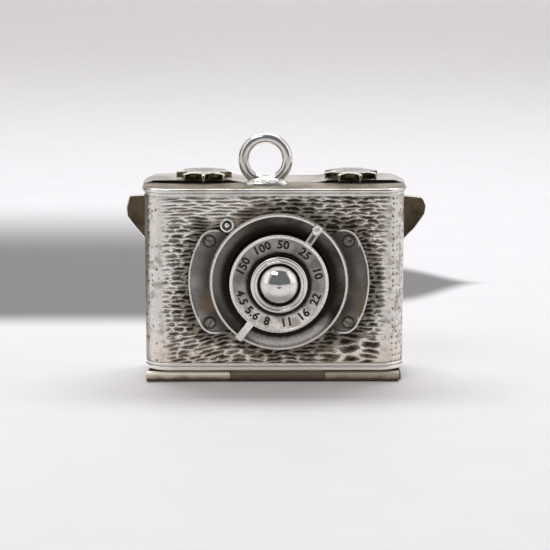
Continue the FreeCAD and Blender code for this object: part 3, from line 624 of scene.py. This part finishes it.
def lens_silver():
    """Oxidised in the hollow round the drum and in the screw wells, bright on the raised edges; the dish's
    slope carries a painted reflection, bright below the axis and dark above it.
    """
    m = Nodes("lens_silver")
    r = m.radius_from(LENS)
    x, _, z = m.place()
    dx = m.minus(x, LENS.x)
    dz = m.minus(z, LENS.z)
    grain = m.noise(3.0, 4.0)
    cloud = m.between(0.35, 0.7, m.noise(0.6, 3.0))
    r_soft = m.sum(r, m.sway(grain, 0.16))

    # Painted reflection on the dish's slope: bright below the lens axis, near black above it, a little
    # lighter to the left
    low = m.between(0.62, 0.95, m.math("DIVIDE", m.sum(m.times(dz, -0.98), m.times(dx, 0.17)), r))
    upper = m.mix(cloud, (0.045, 0.040, 0.032), (0.11, 0.10, 0.085))
    left = m.between(-0.3, -0.9, m.math("DIVIDE", dx, r))
    upper = m.mix(m.times(left, 0.6), upper, (0.19, 0.175, 0.15))
    dish_painted_reflection = m.mix(low, upper, m.mix(m.between(5.3, 5.5, r), (1.0, 0.95, 0.92), (0.45, 0.42, 0.39)))
    dish = m.mix(m.between(4.65, 5.3, r_soft), (0.014, 0.013, 0.011), dish_painted_reflection)
    crest = m.times(m.between(5.58, 5.66, r), m.between(5.9, 5.84, r))
    ring = m.mix(crest, dish, RUBBED)

    steel = m.mix(cloud, (0.17, 0.163, 0.15), (0.30, 0.29, 0.275))
    steel = m.mix(m.between(6.0, 7.3, r_soft), (0.065, 0.06, 0.052), steel)
    steel = m.mix(m.between(0.0, 5.0, dx, 0.0, 0.35), steel, (0.03, 0.028, 0.024))
    stain = m.times(m.between(0.48, 0.62, m.noise(0.5, 3.0)), m.between(1.0, -2.5, dz))
    wing = m.mix(m.times(stain, 0.7), steel, (0.17, 0.12, 0.075))
    aside = m.size_of(dx)
    above = m.size_of(dz)
    from_screw = m.length(m.minus(aside, SCREW_X), m.minus(above, SCREW_Z))
    wing = m.mix(m.between(0.5, 0.62, from_screw, 0.85, 0.0), wing, OXIDE)
    side = m.math("MAXIMUM", m.minus(aside, WING_END.x), 0.0)
    level = m.math("MAXIMUM", m.minus(above, WING_END.z), 0.0)
    corner = m.between(1.18, 1.26, m.length(side, level))
    corner = m.times(corner, m.between(2.9, 3.3, above))
    border = m.math("MAXIMUM", m.between(7.46, 7.54, r_soft), corner)
    wing = m.mix(border, wing, (0.74, 0.72, 0.68))

    color = m.mix(m.between(5.8, 5.9, r), ring, wing)
    # Less metal on the lower slope to carry its painted highlight; the crest is rubbed
    rubbed = m.times(m.times(low, m.between(4.6, 5.0, r)), m.between(5.86, 5.8, r))
    rubbed = m.math("MAXIMUM", rubbed, crest)
    m.relief(m.noise(1.2, 3.0), 0.006, SOFT_EDGE)
    return m.finish(color, m.sum(m.times(grain, 0.2), 0.16), m.between(0.0, 1.0, rubbed, 1.0, 0.4))


def screw_silver():
    m = Nodes("screw_silver")
    grain = m.noise(4.0, 4.0)
    face = m.mix(m.between(0.4, 0.65, grain), (0.27, 0.25, 0.22), (0.10, 0.085, 0.06))
    m.relief(grain, 0.01, 0.02)
    return m.finish(m.mix(m.edges(0.05), face, (0.05, 0.045, 0.04)), m.sum(m.times(grain, 0.2), 0.2))


def socket_silver():
    """Bright ring and bright middle with black between them."""
    m = Nodes("socket_silver")
    r = m.radius_from(SOCKET)
    grain = m.noise(4.0, 3.0)
    r = m.sum(r, m.sway(grain, 0.08))
    inside = m.mix(m.between(0.16, 0.26, r), BRIGHT, (0.10, 0.09, 0.075))
    color = m.mix(m.between(0.38, 0.46, r), inside, BRIGHT)
    m.relief(grain, 0.01, SOFT_EDGE)
    return m.finish(color, m.sum(m.times(grain, 0.2), 0.14))


def dial_silver():
    """Number band, grey, paler towards the bottom, between a dark channel and a bright raised edge."""
    m = Nodes("dial_silver")
    r = m.radius_from(LENS)
    grain = m.noise(3.0, 4.0)
    r_soft = m.sum(r, m.sway(grain, 0.2))
    _, _, z = m.place()
    # Paler towards the bottom
    low = m.between(8.5, 5.5, z)
    grey = m.mix(m.between(0.4, 0.65, m.noise(0.8, 4.0)), (0.36, 0.355, 0.34), (0.20, 0.19, 0.18))
    worn = m.mix(m.between(0.4, 0.65, m.noise(1.0, 4.0)), (0.82, 0.79, 0.74), (0.42, 0.38, 0.33))
    band = m.mix(low, grey, worn)
    channel = m.mix(m.between(2.6, 3.0, r_soft), (0.018, 0.017, 0.015), band)
    rim = m.between(3.88, 3.93, r)
    color = m.mix(rim, channel, RUBBED)
    m.relief(m.noise(1.6, 3.0), 0.012, SOFT_EDGE)
    return m.finish(color, m.sum(m.times(grain, 0.2), 0.16), m.between(0.0, 1.0, rim, 1.0, 0.6))


def drum_silver():
    """Wall under the dial, nearly black: painted shade beneath the dial."""
    m = Nodes("drum_silver")
    grain = m.noise(3.0, 4.0)
    color = m.mix(m.between(0.45, 0.75, grain), (0.025, 0.024, 0.022), (0.09, 0.085, 0.08))
    m.relief(grain, 0.01)
    return m.finish(color, m.sum(m.times(grain, 0.3), 0.25))


def dome_silver():
    """Polished cabochon with a brown line of tarnish where it meets its seat."""
    m = Nodes("dome_silver")
    r = m.radius_from(LENS)
    grain = m.noise(3.0, 4.0)
    r_soft = m.sum(r, m.sway(grain, 0.22))
    haze = m.between(0.35, 0.7, m.noise(1.1, 4.0))
    clean = m.mix(haze, (0.80, 0.785, 0.76), (0.68, 0.665, 0.64))
    color = m.mix(m.between(1.56, 1.68, r_soft), clean, (0.16, 0.12, 0.07))
    m.relief(m.noise(1.3, 3.0), 0.004)
    return m.finish(color, m.sum(m.times(haze, 0.08), 0.05))


def knob_silver():
    """Pale crown with bright rims, dark olive in the scoops and on the sides: painted light and shade by
    facing, the rims a painted highlight along with rubbed edges.
    """
    m = Nodes("knob_silver")
    grain = m.noise(2.5, 4.0)
    # Painted light and shade: level tops pale, sides and scoops dark olive
    top = m.between(0.55, 0.85, m.facing("Z"))
    scoop = m.mix(m.between(0.4, 0.65, grain), (0.13, 0.105, 0.065), (0.30, 0.25, 0.16))
    crown = m.mix(m.between(0.4, 0.7, m.noise(0.8, 3.0)), (0.76, 0.745, 0.70), (0.58, 0.55, 0.48))
    # Painted highlight on the slanted rim faces, with rubbed edges
    rim = m.times(m.between(0.2, 0.45, m.facing("Z")), m.between(0.98, 0.85, m.facing("Z")))
    rim = m.math("MAXIMUM", rim, m.edges(0.1, 0.005, 0.06))
    color = m.mix(rim, m.mix(top, scoop, crown), (0.95, 0.93, 0.89))
    m.relief(grain, 0.008, 0.05)
    return m.finish(color, m.sum(m.times(grain, 0.2), 0.14), m.between(0.0, 1.0, rim, 1.0, 0.6))


def ear_silver():
    """Dark brown faces inside a bevel carrying a painted highlight."""
    m = Nodes("ear_silver")
    cloud = m.between(0.4, 0.7, m.noise(0.45, 4.0))
    face = m.mix(cloud, (0.125, 0.095, 0.06), (0.055, 0.043, 0.026))
    # Painted highlight on every face that turns away from front and back
    edge = m.minus(1.0, m.between(0.8, 0.95, m.size_of(m.facing("Y"))))
    scratch = m.noise(5.0, 3.0, (1, 1, 0.12))
    m.relief(m.sum(m.times(m.noise(0.9, 2.0), 2.0), scratch), 0.006)
    roughness = m.sum(m.times(scratch, 0.14), m.times(cloud, 0.15), 0.16)
    return m.finish(m.mix(edge, face, (0.95, 0.92, 0.87)), roughness, m.between(0.0, 1.0, edge, 1.0, 0.6))


def plate_silver():
    """Pale brownish top with bright edges; its narrow front edge is painted black as the shadow of the gap
    under the plate.
    """
    m = Nodes("plate_silver")
    cloud = m.between(0.42, 0.7, m.noise(0.4, 4.0))
    top = m.mix(cloud, (0.80, 0.77, 0.70), (0.42, 0.35, 0.26))
    top = m.mix(m.times(m.edges(0.08), 0.8), top, BRIGHT)
    scratch = m.noise(4.0, 3.0, (0.2, 1, 1))
    m.relief(m.sum(m.times(m.noise(0.7, 2.0), 2.0), scratch), 0.006, SOFT_EDGE)
    # Painted shadow: the front edge is black
    front = m.between(-0.35, -0.6, m.facing("Y"))
    roughness = m.sum(m.times(scratch, 0.15), m.times(front, 0.3), 0.12)
    return m.finish(m.mix(front, top, (0.012, 0.011, 0.009)), roughness, 0.6)


def rubbed_silver():
    """Silver worn bright and dull by touch."""
    m = Nodes("rubbed_silver")
    grain = m.noise(3.0, 4.0)
    m.relief(grain, 0.006, SOFT_EDGE)
    return m.finish(m.mix(m.between(0.4, 0.7, grain), RUBBED, (0.78, 0.75, 0.69)), 0.28, 0.6)


def hinge_silver(name, upper, lower):
    """A knuckle: a painted highlight along its top, painted brown shade underneath."""
    m = Nodes(name)
    _, _, z = m.place()
    grain = m.noise(1.2, 4.0)
    height = m.sum(z, m.sway(grain, 0.5))
    color = m.mix(m.between(0.2, 0.62, height), lower, upper)
    m.relief(m.noise(0.9, 3.0), 0.012, SOFT_EDGE)
    return m.finish(color, m.sum(m.times(grain, 0.2), 0.3), 0.5)


def engraving():
    m = Nodes("engraving")
    grain = m.noise(5.0, 3.0)
    color = m.mix(grain, (0.012, 0.011, 0.010), (0.05, 0.042, 0.03))
    m.relief(grain, 0.01)
    return m.finish(color, m.sum(m.times(grain, 0.3), 0.4), 0.3)


def window_film():
    m = Nodes("window_film")
    grain = m.noise(1.5, 3.0)
    m.shader.inputs["Transmission Weight"].default_value = 1.0
    m.shader.inputs["IOR"].default_value = 1.45
    m.shader.inputs["Alpha"].default_value = 0.3
    m.relief(grain, 0.004)
    return m.finish((0.96, 0.96, 0.93), m.sum(m.times(grain, 0.1), 0.03), 0.0)


def print_paper():
    """Aged print: a pale oval ground that darkens towards its edges."""
    m = Nodes("print_paper")
    x, _, z = m.place()
    dx = m.math("DIVIDE", x, PRINT_HALF_W)
    dz = m.math("DIVIDE", m.minus(z, PRINT_MIDDLE_Z), PRINT_HALF_H)
    fibre = m.noise(6.0, 5.0)
    stain = m.between(0.45, 0.75, m.noise(0.3, 4.0))
    ground = m.mix(m.between(0.55, 1.05, m.length(dx, dz)), (0.80, 0.74, 0.60), (0.36, 0.26, 0.16))
    ground = m.mix(m.times(stain, 0.5), ground, (0.52, 0.42, 0.28))
    color = m.mix(m.times(fibre, 0.15), ground, (0.9, 0.86, 0.76))
    m.relief(fibre, 0.01)
    return m.finish(color, m.sum(m.times(fibre, 0.2), 0.6), 0.0)


def paper_white():
    """White sheet under and behind the charm, with a painted soft grey shadow behind it on both sides."""
    m = Nodes("paper_white")
    grain = m.noise(0.15, 3.0)
    white = m.mix(m.between(0.3, 0.7, grain), (0.86, 0.865, 0.895), (0.845, 0.85, 0.88))
    x, y, _ = m.place()
    # Painted shadow in two grey bands on the sheet behind the charm, one each side
    left = m.times(m.between(17, 25, y), m.between(95, 55, y))
    left = m.times(left, m.between(-5, -12, x))
    half = m.between(24, 12, x, 0.0, 11.0)
    right = m.between(1.0, -4.0, m.minus(m.size_of(m.minus(y, 39.0)), half))
    right = m.times(right, m.times(m.between(4, 10, x), m.between(27, 20, x)))
    m.relief(m.noise(1.0, 3.0), 0.02)
    return m.finish(m.mix(m.math("MAXIMUM", left, right), white, (0.20, 0.195, 0.205)), 0.6, 0.0)


def dress(obj, material):
    obj.data.materials.clear()
    obj.data.materials.append(material)


# ---- build --------------------------------------------------------------------------------------
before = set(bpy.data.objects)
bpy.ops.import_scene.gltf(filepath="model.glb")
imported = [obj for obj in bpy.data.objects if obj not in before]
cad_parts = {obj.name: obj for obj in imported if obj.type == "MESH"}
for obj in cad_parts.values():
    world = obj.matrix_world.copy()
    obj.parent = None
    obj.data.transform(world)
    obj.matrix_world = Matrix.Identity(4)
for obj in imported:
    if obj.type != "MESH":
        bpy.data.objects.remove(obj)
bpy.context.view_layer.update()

materials = {
    "shell": shell_silver(),
    "bark": bark_silver(),
    "engraving": engraving(),
    "lens": lens_silver(),
    "screw": screw_silver(),
    "socket": socket_silver(),
    "dial": dial_silver(),
    "drum": drum_silver(),
    "dome": dome_silver(),
    "knob": knob_silver(),
    "plain": silver("plain_silver", SILVER, BROWN, 0.35, 0.16),
    "groove": silver("groove_silver", (0.30, 0.29, 0.27), OXIDE, 0.3, 0.2),
    "top": plate_silver(),
    "rubbed": rubbed_silver(),
    "bright": silver("bright_silver", (0.74, 0.72, 0.69), (0.36, 0.31, 0.24), 0.4, 0.06),
    "bezel": silver("bezel_silver", (0.82, 0.80, 0.76), (0.34, 0.29, 0.21), 0.35, 0.1),
    "ear": ear_silver(),
    "rim": silver("rim_silver", (0.07, 0.06, 0.045), OXIDE, 0.5, 0.25),
    "solder": silver("solder", (0.84, 0.83, 0.80), BROWN, 0.2, 0.1, 0.04),
    # Copies of one knuckle finish at three brightnesses, painted light and shade
    "hinge_pale": hinge_silver("hinge_pale", (0.92, 0.85, 0.73), (0.16, 0.12, 0.09)),
    "hinge_mid": hinge_silver("hinge_mid", (0.56, 0.51, 0.40), (0.14, 0.105, 0.08)),
    # Painted shade: the middle knuckle sits darkened under the lip
    "hinge_painted_shade": hinge_silver("hinge_painted_shade", (0.20, 0.165, 0.12), (0.10, 0.07, 0.055)),
    # Painted shade: the base plate shows only in the dark gap under the cover, so it is near black
    "base": silver("base_silver_painted_shade", (0.05, 0.045, 0.035), OXIDE, 0.6, 0.3),
    "pin": silver("pin_metal", (0.60, 0.58, 0.54), BROWN, 0.3, 0.2),
    "tray": silver("tray_metal", (0.66, 0.65, 0.62), (0.40, 0.36, 0.30), 0.3, 0.3),
    "window": window_film(),
    "paper": print_paper(),
}

NODE_MATERIAL = {
    "cover_shell": "shell",
    "cover_knuckle": "hinge_painted_shade",
    "lens_board": "lens",
    "board_screws": "screw",
    "shutter_ring": "lens",
    "lens_drum": "drum",
    "lens_bezel": "bezel",
    "lens_dome": "dome",
    "flash_socket": "socket",
    "flash_socket_pin": "socket",
    "bail_ring": "bright",
    "bail_solder_foot": "solder",
    "number_dial": "dial",
    "cover_frame": "plain",
    "cover_window": "window",
    "cover_photo": "paper",
    "cover_tray": "tray",
    "rear_shell": "shell",
    "base_plate": "base",
    "case_knuckle_left": "hinge_pale",
    "case_knuckle_right": "hinge_mid",
    "hinge_pin": "pin",
    "top_plate": "top",
    "ear_frame_plate": "ear",
    "closing_rim": "rim",
    "case_window": "window",
    "case_photo": "paper",
    "case_tray": "tray",
    "knob_left": "knob",
    "knob_right": "knob",
    "knob_rivet_left": "pin",
    "knob_rivet_right": "pin",
}
for node, key in NODE_MATERIAL.items():
    dress(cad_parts[node], materials[key])


def build_skin(node, body, face_y, seam_y, borders, seed, oxide_and_painted_reflection_of):
    skin = bark_skin(node + "_skin", face_y, seam_y, *borders, seed, oxide_and_painted_reflection_of)
    dress(skin, materials["bark"])
    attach(skin, body)


def build_dial():
    """The dial with its numbers cut in, a groove down its upper arm and a lump at that arm's tip."""
    dial = copy_of("number_dial", "number_dial_struck")
    dress(dial, materials["dial"])
    apply_boolean(dial, number_cutter(), materials["engraving"], "DIFFERENCE")
    groove = groove_cutter(0.14, (4.3, 1.16), (5.1, 0.95), UPPER_ARM_ANGLE)
    apply_boolean(dial, groove, materials["groove"], "DIFFERENCE")
    tip = lump("arm_tip", Vector((0, -0.90, 5.5)), Vector((0.42, 0.30, 0.46)), UPPER_ARM_ANGLE)
    apply_boolean(dial, tip, materials["rubbed"], "UNION")
    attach(dial, "dial")
    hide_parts("number_dial")


def build_solder():
    solder = solder_mound()
    dress(solder, materials["solder"])
    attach(solder, "cover")
    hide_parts("bail_solder_foot")


build_skin("cover_shell", "cover", COVER_FACE_Y, COVER_SEAM_Y, COVER_SKIN_Z, 3, cover_oxide_and_painted_reflection)
build_skin("rear_shell", "case", CASE_BACK_Y, CASE_SEAM_Y, CASE_SKIN_Z, 60, rear_patina)
build_dial()
build_solder()


# ---- stage, in metres ---------------------------------------------------------------------------
SHEET_SIZE = 3.0
CHARM = (0, 0, 0.01)  # where the side lights aim


def add_plane(name, size, location, rotation, material):
    bpy.ops.mesh.primitive_plane_add(size=size, location=location, rotation=rotation)
    plane = bpy.context.active_object
    plane.name = name
    dress(plane, material)


def add_area(name, size, location, target, power, color=(1, 1, 1)):
    data = bpy.data.lights.new(name, "AREA")
    data.shape = "RECTANGLE"
    data.size, data.size_y = size
    data.energy = power
    data.color = color
    light = bpy.data.objects.new(name, data)
    bpy.context.scene.collection.objects.link(light)
    light.location = location
    direction = Vector(target) - Vector(location)
    light.rotation_euler = direction.to_track_quat("-Z", "Y").to_euler()


def studio_world():
    """White tent with a dim opening in front and a dim corner behind on the left.

    Dull surfaces receive less of it than mirrors show, so that the floor keeps a clear shadow.
    """
    world = bpy.data.worlds.new("world")
    m = Nodes("world", world)
    split = m.add("ShaderNodeSeparateXYZ")
    m.tree.links.new(m.add("ShaderNodeTexCoord").outputs["Generated"], split.inputs[0])
    x, y, z = split.outputs
    forward = m.math("MAXIMUM", m.times(y, -1.0), 0.001)
    across = m.math("DIVIDE", m.size_of(x), forward)
    opening = m.times(m.between(1.9, 1.3, across), m.between(3.2, 2.2, m.math("DIVIDE", z, forward)))
    corner = m.times(m.between(-0.1, -0.5, x), m.between(-0.3, 0.1, y))
    corner = m.times(corner, m.between(0.6, 0.2, z))
    dim = m.math("MAXIMUM", opening, corner)
    dull = m.add("ShaderNodeLightPath").outputs["Is Diffuse Ray"]
    background = m.tree.nodes["Background"]
    seen = m.mix(dim, (0.80, 0.80, 0.80), (0.17, 0.175, 0.19))
    m.feed(background.inputs["Color"], m.mix(dull, seen, (0.30, 0.255, 0.23)))
    background.inputs["Strength"].default_value = 1.0
    bpy.context.scene.world = world


sheet = paper_white()
add_plane("floor", SHEET_SIZE, (0, 0, -0.00002), (0, 0, 0), sheet)
add_plane("backdrop", SHEET_SIZE, (0, 0.9, 0), (math.radians(90), 0, 0), sheet)
studio_world()
add_area("overhead", (0.36, 0.06), (0, 0.10, 0.26), (0, 0, 0), 0.50, (0.955, 0.975, 1.0))
add_area("key", (0.15, 0.07), (-0.10, -0.16, 0.26), CHARM, 0.13)
add_area("left", (0.22, 0.26), (-0.23, -0.08, 0.12), CHARM, 0.06)
add_area("right", (0.30, 0.26), (0.24, -0.01, 0.12), CHARM, 0.09)
add_area("backdrop_light", (0.9, 0.4), (0, 0.45, 0.7), (0, 0.9, 0.15), 2.7)

# Camera: in front, a little above, long lens
CAM_TARGET = Vector((0, 0, 8.55)) * MM
CAM_DISTANCE = 170 * MM
CAM_ELEVATION = math.radians(11.1)
CAM_AZIMUTH = math.radians(-0.44)
CAM_FOCAL_LENGTH = 129.1
CAM_SHIFT = (0.0015, -0.0006)
camera_data = bpy.data.cameras.new("camera")
camera = bpy.data.objects.new("camera", camera_data)
bpy.context.scene.collection.objects.link(camera)
bpy.context.scene.camera = camera
away = Vector(
    (
        math.sin(CAM_AZIMUTH) * math.cos(CAM_ELEVATION),
        -math.cos(CAM_AZIMUTH) * math.cos(CAM_ELEVATION),
        math.sin(CAM_ELEVATION),
    )
)
camera.location = CAM_TARGET + away * CAM_DISTANCE
camera.rotation_euler = (-away).to_track_quat("-Z", "Y").to_euler()
camera_data.sensor_width = 36
camera_data.lens = CAM_FOCAL_LENGTH
camera_data.clip_start = 0.005
camera_data.shift_x, camera_data.shift_y = CAM_SHIFT
bpy.context.scene.view_settings.view_transform = "Standard"
